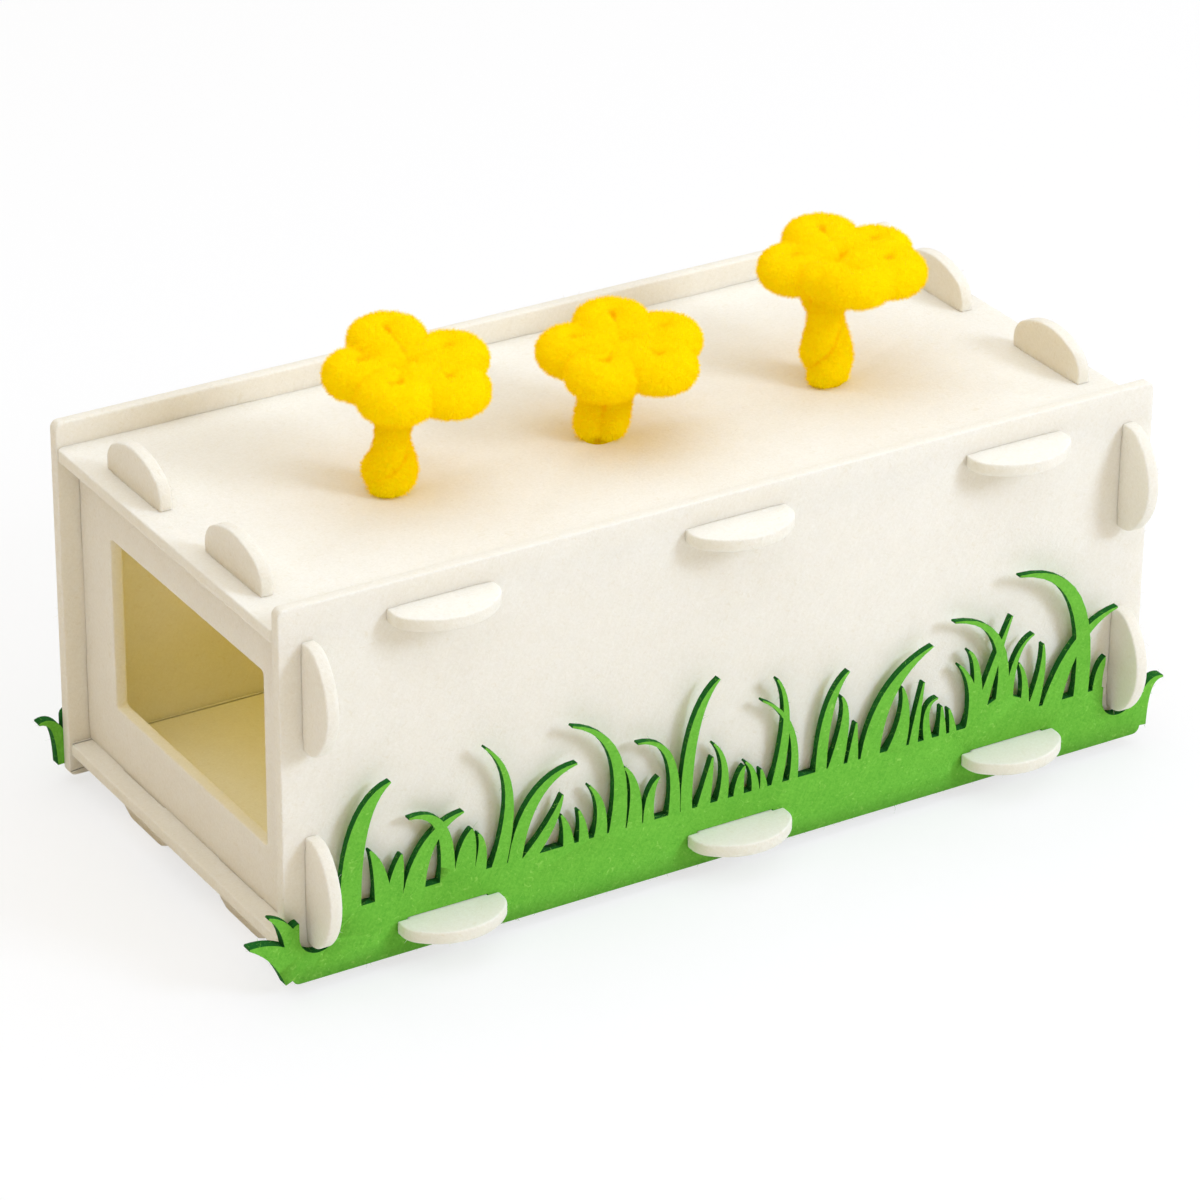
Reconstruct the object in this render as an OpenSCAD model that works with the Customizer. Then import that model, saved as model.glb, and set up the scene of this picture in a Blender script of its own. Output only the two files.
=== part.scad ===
// Slot-together felt hideout for small animals, with grass strips and chenille flowers.
// +X runs along the house, -Y is the front and +Z is up. The house stands on z = 0.

/* [Felt boards] */
// Thickness of every felt board
felt_t = 3; // [2:0.25:4]
// Length of the walls, the roof and the floor
wall_l = 240; // [220:1:300]
// Height of the walls
wall_h = 95; // [90:1:130]
// Distance between the outer faces of the two walls
house_d = 115; // [105:1:160]
// Corner radius of the boards
corner_r = 1.5; // [0.5:0.5:5]
// Height that the walls stand past the roof and below the floor
lip = 6; // [5:0.5:12]
// Length that the boards run past the end frames
overhang = 5.5; // [4:0.5:9]

/* [Doorways] */
// Width of the felt border round a doorway
border = 15; // [12:0.5:20]
// Corner radius of a doorway
door_r = 1.5; // [0.5:0.5:6]

/* [Tabs and slots] */
// Length of a slot
slot_l = 21.5; // [18:0.5:23]
// Length of a tab's head over its two ears
head_l = 27; // [25:0.5:30]
// Height of a head that stands out from a wall
wall_head_h = 11.2; // [10:0.2:14]
// Height of a head that stands out from the roof or the floor
deck_head_h = 10; // [9:0.2:14]
// Depth that the weight of the house presses the lower heads flat by
foot_flat = 1; // [0.4:0.1:1.5]
// Height of the straight sides of a head
head_side = 2; // [1:0.25:2.5]
// Corner radius of a head
head_r = 6; // [4:0.25:6]
// Distance between the middles of the three tabs on a long side
deck_pitch = 79; // [60:1:85]
// Distance between the middles of the two tabs on a side of an end frame
frame_pitch = 50; // [36:1:54]
// Clearance round a tab in its slot, on each side
slot_gap = 0.25; // [0.1:0.05:0.5]
// Gap between two boards that meet edge to face
butt_gap = 0.25; // [0.1:0.05:0.5]

/* [Grass] */
// Height of the strip that the blades grow from
turf_h = 16; // [14:0.5:20]
// Height of the tallest blade over the strip's lower edge
blade_top = 56; // [40:1:70]
// Width of a blade's cut tip
blade_tip = 0.5; // [0.3:0.1:1.5]
// Half width of the notch round a lower end tab
notch_w = 5; // [3.5:0.25:5.5]
// Depth of that notch below the tab
notch_gap = 2; // [1:0.25:3]

/* [Flower places] */
// Distance of the left flower's hole from the left end of the roof
left_in = 57; // [40:0.5:75]
// Distance of the middle flower's hole from the middle of the house, along it
middle_x = -6; // [-15:0.5:15]
// Distance of the right flower's hole from the right end of the roof
right_in = 60.5; // [40:0.5:75]
// Distance of the left hole from the ridge, across the house
left_y = -5; // [-15:0.5:15]
// Distance of the middle hole from the ridge
middle_y = -5.5; // [-15:0.5:15]
// Distance of the right hole from the ridge
right_y = -6.5; // [-15:0.5:15]
// Height of the left flower's loops over the roof
left_rise = 28; // [24:0.5:36]
// Height of the middle flower's loops over the roof
middle_rise = 21; // [18:0.5:36]
// Height of the right flower's loops over the roof
right_rise = 29; // [24:0.5:36]
// Distance from a stalk to the middle of its flower
stalk_off = 6.3; // [6:0.1:7]

/* [Flowers] */
// Thickness of the chenille stem round the loops
stem_d = 6; // [5:0.1:6.1]
// Thickness of the stem where the loops crowd together
pinch_d = 4; // [3:0.1:4.2]
// Thickness of each of the two strands of a stalk
stalk_d = 5.6; // [4.5:0.1:5.8]
// Thickness of the stem where the punched hole squeezes it
squeezed_d = 3; // [2.6:0.1:3.4]
// Thickness of the two ends that are bent flat under the roof
tail_d = 5; // [4:0.1:5.6]
// Distance from a flower's middle to the middle of a loop's round end
tip_c = 12.6; // [12.5:0.1:16]
// Radius of a loop's round end, on the stem's middle line
tip_r = 4.1; // [3.8:0.05:4.2]
// Distance from a flower's middle to the middle of a bend between loops
valley_c = 8.3; // [8.2:0.1:9.2]
// Radius of a bend between loops
valley_r = 2.4; // [2.3:0.05:2.6]
// Radius of the bend from a stalk into its loops
bend_r = 4.5; // [4:0.1:5]
// Clear gap between the two strands of a stalk
strand_gap = 0.6; // [0.5:0.05:1]
// Reach of the bent ends from the stalk's middle
tail_reach = 14; // [10:0.5:20]
// Clearance between a flower and the roof
flower_gap = 0.3; // [0.2:0.05:0.5]

/* [Hidden] */
$fn = 64;

// Heights, from the table up: the lower heads stand on it
floor_z = butt_gap + deck_head_h - foot_flat;
wall_z = floor_z - lip;
roof_z = wall_z + wall_h - lip - felt_t;
roof_top = roof_z + felt_t;
wall_mid = wall_z + wall_h / 2;

// Places of the boards across and along the house
wall_y = house_d / 2 - felt_t / 2;
inner_d = house_d - 2 * felt_t;
frame_x = wall_l / 2 - overhang - felt_t / 2;
frame_h = roof_z - floor_z - felt_t - 2 * butt_gap;
neck_l = slot_l - 2 * slot_gap;
slot_w = felt_t + 2 * slot_gap;
root_h = 0.5;
turf_r = 2;

// Middles of the tabs along a long side, and along a side of an end frame
deck_tabs = [-deck_pitch, 0, deck_pitch];
frame_tabs = [-frame_pitch / 2, frame_pitch / 2];

// Blades of grass on a strip 240 mm long whose tallest blade is 56 mm high: root, width there,
// the point that the blade bends towards, its tip, and how late along it the blade narrows
drawn_l = 240;
drawn_top = 56;
root_z = 13;
BLADES = [
    [[-118.5, 2], 7, [-122, 10.5], [-130.8, 12.7], 1.7],
    [[-119.3, 6], 4.4, [-119.5, 16], [-125.8, 19.6], 1.7],
    [[-104.6, root_z], 5.6, [-105.5, 43], [-95, 47.7], 2.2],
    [[-96, root_z], 4.4, [-96.3, 24.5], [-99.8, 30.2], 1.8],
    [[-93.5, root_z], 4.6, [-92.3, 22.5], [-91.4, 26.8], 1.8],
    [[-88.3, root_z], 6, [-86.5, 31.5], [-75.2, 33.6], 1.2],
    [[-79.3, root_z], 4, [-77.3, 36.5], [-89.8, 35.9], 1.5],
    [[-75, root_z], 5.6, [-73.8, 24], [-72.8, 28.2], 2.5],
    [[-71, root_z], 3.4, [-68.8, 22.5], [-71, 26.3], 1.5],
    [[-66, root_z], 4.4, [-58.3, 39], [-70.3, 49.6], 0.75],
    [[-61.3, root_z], 3.8, [-59.2, 36.5], [-45, 38], 2],
    [[-58.5, 14], 3.4, [-50.5, 22], [-48.5, 30.3], 2],
    [[-46.3, root_z], 3.4, [-46.3, 20.5], [-48.7, 24.8], 1.3],
    [[-42.3, root_z], 3.2, [-42, 20], [-43.9, 24.7], 1.3],
    [[-38.2, root_z], 4, [-35.8, 24.5], [-41.3, 30.6], 1],
    [[-33.5, root_z], 4.8, [-28.8, 42.5], [-47, 48.7], 0.95],
    [[-28.7, root_z], 4.6, [-26.8, 27], [-31.7, 33], 1.1],
    [[-24.2, root_z], 3.2, [-25.2, 24.5], [-21.8, 27.5], 1.5],
    [[-17.5, root_z], 3.6, [-15.5, 38], [-28.5, 38.6], 0.8],
    [[-13.8, root_z], 3.2, [-15.3, 43], [-6.8, 50.6], 2.4],
    [[-9.6, root_z], 4, [-7.8, 22], [-7.1, 28.7], 1.2],
    [[-4.3, root_z], 3.4, [-1.3, 26], [-7, 32.4], 0.8],
    [[0.8, root_z], 3.2, [0.6, 21], [2.3, 23.6], 1.5],
    [[5.6, root_z], 2.6, [5.9, 21.5], [2.4, 24.6], 1],
    [[8, root_z], 2.6, [8, 18.5], [6.9, 21.3], 1.2],
    [[11, root_z], 3.2, [16.3, 36.5], [9.8, 45.7], 1],
    [[16, root_z], 2.8, [19, 33], [6, 40.7], 0.8],
    [[24.3, root_z], 3.2, [23.8, 36.5], [30.5, 42.2], 2],
    [[27.8, root_z], 5, [32.5, 30.5], [29, 35.3], 0.8],
    [[33.2, root_z], 3.6, [33.8, 20], [33.9, 26.6], 1.2],
    [[38.3, root_z], 5.6, [39.3, 36], [54.7, 42.5], 1.5],
    [[45.3, root_z], 6.4, [50, 25], [46.7, 33], 0.8],
    [[50.8, root_z], 3, [52, 25], [53, 32.7], 0.9],
    [[56.2, root_z], 2.6, [52.3, 26.5], [57.6, 26.9], 1],
    [[59.8, root_z], 2.6, [59.7, 19.5], [58.9, 24.2], 1.2],
    [[63, root_z], 2.6, [62.8, 18.5], [61.2, 22.8], 1.2],
    [[68.3, root_z], 4.5, [70, 27.5], [63.2, 34.6], 0.8],
    [[69.8, root_z], 3.6, [70.3, 34], [65.6, 38.1], 1],
    [[77, root_z], 23, [77, 17], [77, 22.5], 2.5],
    [[70.6, 19], 3.2, [74, 33], [77.6, 44.8], 1.2],
    [[76, root_z], 4.4, [81, 44.5], [60.5, 47.6], 0.9],
    [[79.3, root_z], 3.4, [77.8, 35], [85, 37.6], 0.7],
    [[83.6, root_z], 3.4, [85, 24.5], [81.3, 30.2], 0.9],
    [[85.7, root_z], 4, [89.8, 25.5], [88.2, 33.8], 0.9],
    [[91.8, root_z], 6, [96.5, 36], [110, 38.6], 1],
    [[101, root_z], 4.4, [103.5, 53.5], [78.5, 55.8], 2],
    [[106.2, root_z], 3, [105.6, 24.5], [109.8, 25.2], 1.5],
    [[119.8, 2], 4.4, [120.8, 15.5], [126.6, 14.2], 1.2]
];
blade_steps = 12;

// Flowers: place of the hole, height of the loops over the roof, lean of the stalk in stem widths,
// turn of the open side, turn of the stalk's strands below the loops and at the foot, and lift of
// each loop in stem widths
FLOWERS = [
    [[left_in - wall_l / 2, left_y], left_rise, [0, 0], 188, 37, 250, [0, -0.15, 0, 0.5, -0.15]],
    [[middle_x, middle_y], middle_rise, [0.25, 0.1], 180, -58, 0, [-0.1, 0, 0.1, 0.25, -0.1]],
    [[wall_l / 2 - right_in, right_y], right_rise, [-0.15, 0.15], 192, 46, 250, [0.25, -0.25, 0, 0.25, -0.15]]
];
loops = 5;
loop_a = 360 / loops;
half_a = loop_a / 2;
tip_rings = 14;
valley_rings = 9;
stalk_rings = 9;
bend_rings = 4;
join_rings = 3;
tail_rings = 4;
stem_sides = 6;
foot_h = 6;
swing_h = 8;
hole_strand_r = (squeezed_d + strand_gap) / 2;
hole_r = hole_strand_r + squeezed_d / 2 + flower_gap;
tail_bend = tail_d / 2 + flower_gap;
// Half angles of the arcs round a loop's end and round a bend between loops
between = [valley_c * cos(half_a) - tip_c, valley_c * sin(half_a)];
tip_a = atan2(between[1], between[0]) - acos((tip_r + valley_r) / norm(between));
valley_a = tip_a - half_a;

// Flat shapes

// Rectangle about the middle, with round corners
module round_rect(w, h, r) {
    square([w - 2 * r, h], center = true);
    square([w, h - 2 * r], center = true);
    for (x = [-1, 1], y = [-1, 1])
        translate([x * (w / 2 - r), y * (h / 2 - r)])
            circle(r);
}

// Head of a tab on the x axis: straight sides, round corners and a crown, cut flat by flat_h
module tab_head(h, flat_h = 0) {
    a = head_l / 2;
    rise = h - head_side;
    crown_r = (pow(rise, 2) + pow(a - head_r, 2) - pow(head_r, 2)) / (2 * (rise - head_r));
    crown_y = h - crown_r;
    reach = 2 * crown_r / (crown_r - head_r);
    edge_x = reach * (a - head_r);
    edge_y = crown_y + reach * (head_side - crown_y);
    intersection() {
        translate([-a, 0])
            square([head_l, h - flat_h]);
        union() {
            translate([-a, 0])
                square([head_l, head_side]);
            for (x = [-1, 1])
                translate([x * (a - head_r), head_side])
                    circle(head_r);
            intersection() {
                translate([0, crown_y])
                    circle(crown_r);
                polygon([[0, crown_y], [edge_x, edge_y], [-edge_x, edge_y]]);
            }
        }
    }
}

// Tab whose root lies on the x axis: a neck through boards of depth d, then the head.
// The neck also runs root_h down into its board and up into the head.
module tab(d, h, flat_h = 0) {
    neck_h = d + 2 * butt_gap;
    translate([-neck_l / 2, -root_h])
        square([neck_l, neck_h + 2 * root_h]);
    translate([0, neck_h])
        tab_head(h, flat_h);
}

module slot(turn = 0) {
    rotate(turn)
        square([slot_l, slot_w], center = true);
}

// A wall, with its slots, seen from outside
module wall_shape() {
    difference() {
        round_rect(wall_l, wall_h, corner_r);
        for (x = deck_tabs, z = [roof_z, floor_z])
            translate([x, z + felt_t / 2 - wall_mid])
                slot();
        for (x = [-frame_x, frame_x], z = frame_tabs)
            translate([x, z])
                slot(90);
    }
}

// The roof or the floor, whose tabs pass boards of depth d
module deck_shape(d) {
    difference() {
        union() {
            round_rect(wall_l, inner_d - 2 * butt_gap, corner_r);
            for (x = deck_tabs, turn = [0, 180])
                rotate(turn)
                    translate([x, inner_d / 2 - butt_gap])
                        tab(d, wall_head_h);
        }
        for (x = [-frame_x, frame_x], y = frame_tabs)
            translate([x, y])
                slot(90);
    }
}

// An end frame, with two tabs on each of its sides
module frame_shape() {
    w = inner_d - 2 * butt_gap;
    difference() {
        union() {
            square([w, frame_h], center = true);
            for (p = frame_tabs) {
                for (turn = [90, 270])
                    rotate(turn)
                        translate([p, w / 2])
                            tab(felt_t, wall_head_h);
                translate([p, frame_h / 2])
                    tab(felt_t, deck_head_h);
                rotate(180)
                    translate([p, frame_h / 2])
                        tab(felt_t, deck_head_h, foot_flat);
            }
        }
        round_rect(w - 2 * border, frame_h - 2 * border, door_r);
    }
}

function mix(a, b, t) = a + t * (b - a);

// A blade: its middle line bends from the root to the tip, and its width tapers
function bend(b, t) = pow(1 - t, 2) * b[0] + 2 * t * (1 - t) * b[2] + t * t * b[3];
function heading(b, t) =
    let (d = (1 - t) * (b[2] - b[0]) + t * (b[3] - b[2]))
    d / norm(d);
function half_w(b, t) = mix(b[1], blade_tip, pow(t, b[4])) / 2;
function blade_side(b, t, side) =
    let (h = heading(b, t))
    bend(b, t) + side * half_w(b, t) * [-h[1], h[0]];
function placed(p) = [p[0] * wall_l / drawn_l, p[1] * blade_top / drawn_top];

module blade(b) {
    polygon([
        for (i = [0:blade_steps]) placed(blade_side(b, i / blade_steps, -1)),
        for (i = [0:blade_steps]) placed(blade_side(b, 1 - i / blade_steps, 1))
    ]);
}

// A grass strip seen from outside, with its lower edge on the x axis
module grass_shape() {
    low_tab = wall_h / 2 - frame_pitch / 2 - head_l / 2;
    difference() {
        union() {
            translate([0, turf_h / 2])
                round_rect(wall_l, turf_h, turf_r);
            for (b = BLADES)
                blade(b);
        }
        for (x = deck_tabs)
            translate([x, floor_z + felt_t / 2 - wall_z])
                slot();
        for (x = [-frame_x, frame_x]) {
            translate([x, low_tab - notch_gap + notch_w])
                circle(notch_w);
            translate([x - notch_w, low_tab - notch_gap + notch_w])
                square([2 * notch_w, head_l + notch_gap + slot_gap - notch_w]);
        }
    }
}

// Chenille stem

function polar(r, a) = [r * cos(a), r * sin(a)];
function lifted(p, z) = [p[0], p[1], z];
function smooth(t) = t * t * (3 - 2 * t);

// One strand from its end under the roof up to the loops, as points with their radii.
// It is squeezed in the hole, full along the stalk and thin again where it bends into the loops.
function stalk_turn(f, side, z) =
    let (top = f[1] - bend_r)
    f[3] + 90 * side - f[4] * smooth(min(1, (top - z) / swing_h)) - f[5] * pow(1 - z / top, 3);
function strand_d(f, z) =
    z < foot_h
        ? mix(squeezed_d, stalk_d, z / foot_h)
        : mix(stalk_d, pinch_d, smooth(max(0, (z - f[1]) / bend_r + 2)));
function strand_r(f, z) = (strand_d(f, z) + strand_gap) / 2;
function tail_run(f, side) =
    let (
        turn = stalk_turn(f, side, 0),
        low = -felt_t - tail_bend,
        inner = hole_strand_r + tail_bend
    )
    [
        for (i = [0:tail_rings])
            let (t = i / tail_rings, d = mix(tail_d, squeezed_d, smooth(t)))
            [lifted(polar(mix(tail_reach, inner, t), turn), low), d / 2],
        for (i = [1:bend_rings])
            let (a = 90 * i / bend_rings, out = inner - tail_bend * sin(a))
            [lifted(polar(out, turn), low + tail_bend * (1 - cos(a))), squeezed_d / 2]
    ];
function stalk_run(f, side) =
    let (top = f[1] - bend_r)
    [
        for (i = [0:stalk_rings])
            let (
                z = i == 0 ? 0 : mix(foot_h, top, (i - 1) / (stalk_rings - 1)),
                out = polar(strand_r(f, z), stalk_turn(f, side, z))
            )
            [lifted(smooth(z / top) * stem_d * f[2] + out, z), strand_d(f, z) / 2]
    ];
function bend_run(f, side) =
    let (top = f[1] - bend_r, foot = stem_d * f[2] + polar(strand_r(f, top) * side, f[3] + 90))
    [
        for (i = [1:bend_rings])
            let (a = 90 * i / bend_rings, out = polar(bend_r * (1 - cos(a)), f[3]))
            [lifted(foot + out, top + bend_r * sin(a)), pinch_d / 2]
    ];
// Smooth run from that bend to the side of the first loop's round end
function join_run(f, side) =
    let (
        bent = bend_run(f, side),
        p0 = bent[bend_rings - 1][0],
        p1 = tip_point(f, side > 0 ? 0 : loops - 1, -90 * side)[0],
        span = norm(p1 - p0),
        d0 = span * lifted(polar(1, f[3]), 0),
        d1 = span * lifted(polar(1, f[3] + half_a * side), 0)
    )
    [
        for (i = [1:join_rings])
            let (t = i / (join_rings + 1))
            [
                mix(p0, p1, smooth(t)) + t * (1 - t) * ((1 - t) * d0 - t * d1),
                mix(pinch_d, stem_d, t) / 2
            ]
    ];

// The loops: arcs round their ends and, the other way, round the bends between them.
// The stem thins towards the middle, where the loops crowd.
function flower_mid(f) = stem_d * f[2] - polar(stalk_off, f[3]);
function loop_axis(f, k) = f[3] + half_a + loop_a * k;
function fullness(p) =
    let (low = valley_c - valley_r)
    smooth(max(0, min(1, (norm(p) - low) / (tip_c - low))));
function ring_point(f, k, p) =
    let (full = fullness(p))
    [lifted(flower_mid(f) + p, f[1] + stem_d * f[6][k] * full), mix(pinch_d, stem_d, full) / 2];
function tip_point(f, k, a) =
    ring_point(f, k, polar(tip_c, loop_axis(f, k)) + polar(tip_r, loop_axis(f, k) + a));
function valley_point(f, k, a) =
    let (axis = loop_axis(f, k) + half_a)
    ring_point(f, a > 0 ? k : k + 1, polar(valley_c, axis) + polar(valley_r, axis + 180 + a));
function loop_run(f) = [
    for (k = [0:loops - 1])
        let (
            first = k == 0 ? -90 : -tip_a,
            last = k == loops - 1 ? 90 : tip_a
        )
        each [
            for (i = [0:tip_rings]) tip_point(f, k, mix(first, last, i / tip_rings)),
            if (k < loops - 1)
                for (i = [0:valley_rings]) valley_point(f, k, valley_a * (1 - 2 * i / valley_rings))
        ]
];
function half_run(f, side) =
    concat(tail_run(f, side), stalk_run(f, side), bend_run(f, side), join_run(f, side));
function reversed(list) = [for (i = [len(list) - 1:-1:0]) list[i]];
function stem_run(f) = concat(half_run(f, 1), loop_run(f), reversed(half_run(f, -1)));

// Least clear gap between two points of the stem that lie over two stem widths apart along it
function step(run, i) = i + 1 < len(run) ? norm(run[i + 1][0] - run[i][0]) : 0;
function along(run) = [
    for (i = 0, s = 0; i < len(run); s = s + step(run, i), i = i + 1)
        s
];
function least_gap(run) =
    let (s = along(run))
    min([
        for (i = [0:len(run) - 1], j = [i + 1:1:len(run) - 1])
            if (s[j] - s[i] > 2 * stem_d)
                norm(run[i][0] - run[j][0]) - run[i][1] - run[j][1]
    ]);

// Direction of a run at each point, and a side direction carried along it without twist
function directions(run) = [
    for (i = [0:len(run) - 1])
        let (d = run[min(i + 1, len(run) - 1)][0] - run[max(i - 1, 0)][0])
        d / norm(d)
];
function squared(v, d) =
    let (w = v - (v * d) * d)
    w / norm(w);
function sides_of(d) = [
    for (i = 0, v = squared([0, 0, 1], d[0]); i < len(d); i = i + 1, v = i < len(d) ? squared(v, d[i]) : v)
        v
];

// One unbroken tube along a run
module tube(run) {
    d = directions(run);
    v = sides_of(d);
    n = stem_sides;
    last = (len(run) - 1) * n;
    points = [
        for (i = [0:len(run) - 1], k = [0:n - 1])
            let (a = 360 * k / n)
            run[i][0] + run[i][1] * (cos(a) * v[i] + sin(a) * cross(d[i], v[i]))
    ];
    faces = [
        for (i = [0:len(run) - 2], k = [0:n - 1], half = [0, 1])
            let (a = i * n + k, b = i * n + (k + 1) % n)
            half == 0 ? [a, a + n, b] : [b, a + n, b + n],
        for (k = [1:n - 2]) [0, k, k + 1],
        for (k = [1:n - 2]) [last, last + k + 1, last + k]
    ];
    polyhedron(points, faces);
}

module flower(i) {
    run = stem_run(FLOWERS[i]);
    echo(str("flower ", i + 1, ": least gap of the stem to itself ", least_gap(run), " mm"));
    color("gold")
        translate([FLOWERS[i][0][0], FLOWERS[i][0][1], roof_top])
            tube(run);
}

// Boards in their places

// Stands a flat shape up, with its outer face towards the front
module standing(y) {
    translate([0, y + felt_t / 2, 0])
        rotate([90, 0, 0])
            linear_extrude(felt_t)
                children();
}

module wall() {
    color("ivory")
        standing(-wall_y)
            translate([0, wall_mid])
                wall_shape();
}

module front_wall() {
    wall();
}

module back_wall() {
    rotate(180)
        wall();
}

module roof_panel() {
    color("ivory")
        translate([0, 0, roof_z])
            linear_extrude(felt_t)
                difference() {
                    deck_shape(felt_t);
                    for (f = FLOWERS)
                        translate(f[0])
                            circle(hole_r);
                }
}

module floor_panel() {
    color("ivory")
        translate([0, 0, floor_z])
            linear_extrude(felt_t)
                deck_shape(2 * felt_t);
}

module end_frame(x) {
    color("ivory")
        translate([x - felt_t / 2, 0, floor_z + felt_t + butt_gap + frame_h / 2])
            rotate([90, 0, 90])
                linear_extrude(felt_t)
                    frame_shape();
}

module left_end_frame() {
    end_frame(-frame_x);
}

module right_end_frame() {
    end_frame(frame_x);
}

module grass() {
    color("forestgreen")
        standing(-wall_y - felt_t)
            translate([0, wall_z])
                grass_shape();
}

module front_grass() {
    grass();
}

module back_grass() {
    rotate(180)
        grass();
}

module left_flower() {
    flower(0);
}

module middle_flower() {
    flower(1);
}

module right_flower() {
    flower(2);
}

front_wall();
back_wall();
roof_panel();
floor_panel();
left_end_frame();
right_end_frame();
front_grass();
back_grass();
left_flower();
middle_flower();
right_flower();
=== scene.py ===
import math
from collections import namedtuple

import bmesh
import bpy
import numpy as np
from mathutils import Matrix, Vector


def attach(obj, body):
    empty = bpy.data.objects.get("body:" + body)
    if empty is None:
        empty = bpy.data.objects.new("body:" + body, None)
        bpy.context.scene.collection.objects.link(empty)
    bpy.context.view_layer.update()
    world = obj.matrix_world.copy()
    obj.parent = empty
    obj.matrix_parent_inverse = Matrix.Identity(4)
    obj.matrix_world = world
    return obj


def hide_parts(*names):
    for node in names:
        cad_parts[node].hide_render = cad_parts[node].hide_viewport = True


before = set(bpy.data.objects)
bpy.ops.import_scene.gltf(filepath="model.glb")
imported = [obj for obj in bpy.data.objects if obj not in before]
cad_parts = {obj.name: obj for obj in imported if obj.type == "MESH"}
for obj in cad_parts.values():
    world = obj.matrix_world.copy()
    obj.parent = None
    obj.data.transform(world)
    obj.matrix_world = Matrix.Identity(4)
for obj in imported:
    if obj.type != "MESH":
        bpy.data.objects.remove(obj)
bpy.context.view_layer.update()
MM = 0.001


# Shader maths

class Wire:
    """A shader socket that Python sums work on: each sum on values adds one Math node."""

    def __init__(self, tree, socket=None):
        self.tree = tree
        self.socket = socket

    def node(self, kind, settings=None, values=None, out=0):
        """Adds a node, sets its settings, then its sockets by name or number, and wires its output."""
        made = self.tree.nodes.new(kind)
        for key, value in (settings or {}).items():
            setattr(made, key, value)
        for key, value in (values or {}).items():
            if isinstance(value, Wire):
                self.tree.links.new(value.socket, made.inputs[key])
            else:
                made.inputs[key].default_value = value
        return Wire(self.tree, made.outputs[out] if made.outputs else None)

    def sum(self, operation, a, b):
        """One Math node on two values or wires."""
        return self.node("ShaderNodeMath", {"operation": operation}, {0: a, 1: b})

    def __add__(self, other):
        return self.sum("ADD", self, other)

    def __radd__(self, other):
        return self.sum("ADD", other, self)

    def __mul__(self, other):
        return self.sum("MULTIPLY", self, other)

    def __rmul__(self, other):
        return self.sum("MULTIPLY", other, self)


def new_finish(name):
    """An empty material and the wire that its nodes start from."""
    finish = bpy.data.materials.new(name)
    finish.use_nodes = True
    finish.node_tree.nodes.clear()
    return finish, Wire(finish.node_tree)


def noise(wire, at, scale, detail=2.0, distortion=0.0):
    """Soft noise about 0.5 with scale waves to a metre."""
    values = {"Vector": at, "Scale": scale, "Detail": detail, "Distortion": distortion}
    return wire.node("ShaderNodeTexNoise", {"noise_dimensions": "3D"}, values)


def streaks(wire, at, turn, length, width):
    """Noise drawn out into short strands along a turned direction, sizes in metres."""
    drawn = wire.node("ShaderNodeMapping", {"vector_type": "TEXTURE"},
                      {"Vector": at, "Rotation": turn, "Scale": (length, width, width)})
    return noise(wire, drawn, 1.0, 1.0, 0.8)


def mixed(wire, share, first, second):
    """Colour between two colours by share."""
    return wire.node("ShaderNodeMix", {"data_type": "RGBA"}, {0: share, 6: first, 7: second}, out=2)


def ranged(wire, value, low, high):
    """Value from low to high, as 0 to 1, held at both ends."""
    return wire.node("ShaderNodeMapRange", {"clamp": True}, {0: value, 1: low, 2: high, 3: 0.0, 4: 1.0})


def rgb(colour):
    """A colour with full alpha, as colour sockets take it."""
    return (*colour, 1.0)


STRAND_L, STRAND_W = 5.0 * MM, 0.5 * MM
STRAND_TURNS = [(0.3, 0.5, 0.4), (1.4, -0.6, 1.9), (-0.8, 1.1, 2.9)]
CLUMP, GRAIN, SPECK = 7 * MM, 0.8 * MM, 1.6 * MM


def felt_finish(name, pale, deep, speck, depth, glow):
    """Needle felt: strands in three directions over soft clumps, matt. Light spreads through it by glow,
    a share and the depths in metres that red, green and blue reach."""
    finish, wire = new_finish(name)
    at = wire.node("ShaderNodeTexCoord", out="Object")
    layers = [streaks(wire, at, turn, STRAND_L, STRAND_W) for turn in STRAND_TURNS]
    strands = sum(layers) * (1 / len(layers))
    clumps = noise(wire, at, 1 / CLUMP, 3.0)
    grain = noise(wire, at, 1 / GRAIN, 3.0, 0.6)
    tone = ranged(wire, strands * 0.5 + clumps * 0.12 + grain * 0.25 + 0.065, 0.34, 0.64)
    specks = ranged(wire, noise(wire, at, 1 / SPECK, 2.0, 1.2), 0.62, 0.74)
    colour = mixed(wire, specks * 0.5, mixed(wire, tone, rgb(deep), rgb(pale)), rgb(speck))
    bump = wire.node("ShaderNodeBump", None,
                     {"Strength": 0.55, "Distance": depth, "Height": strands * 0.6 + grain * 0.4})
    share, reach = glow
    shader = wire.node("ShaderNodeBsdfPrincipled", None, {
        "Base Color": colour, "Roughness": 0.95, "Normal": bump, "Specular IOR Level": 0.1,
        "Subsurface Weight": share, "Subsurface Radius": reach, "Subsurface Scale": 1.0})
    wire.node("ShaderNodeOutputMaterial", None, {"Surface": shader})
    return finish


def fibre_finish(name, colour, painted_glow=0.0):
    """One tint of loose fibre. Its emission, as strong as the last argument, is a painted glow in its own
    colour.
    """
    finish, wire = new_finish(name)
    shader = wire.node("ShaderNodeBsdfPrincipled", None, {
        "Base Color": rgb(colour), "Roughness": 0.95, "Specular IOR Level": 0.05,
        "Emission Color": rgb(colour), "Emission Strength": painted_glow})
    wire.node("ShaderNodeOutputMaterial", None, {"Surface": shader})
    return finish


TUFT, TUFT_GROUP = 0.7 * MM, 3 * MM
PILE_REACH = (20 * MM, 15 * MM, 2 * MM)


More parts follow.
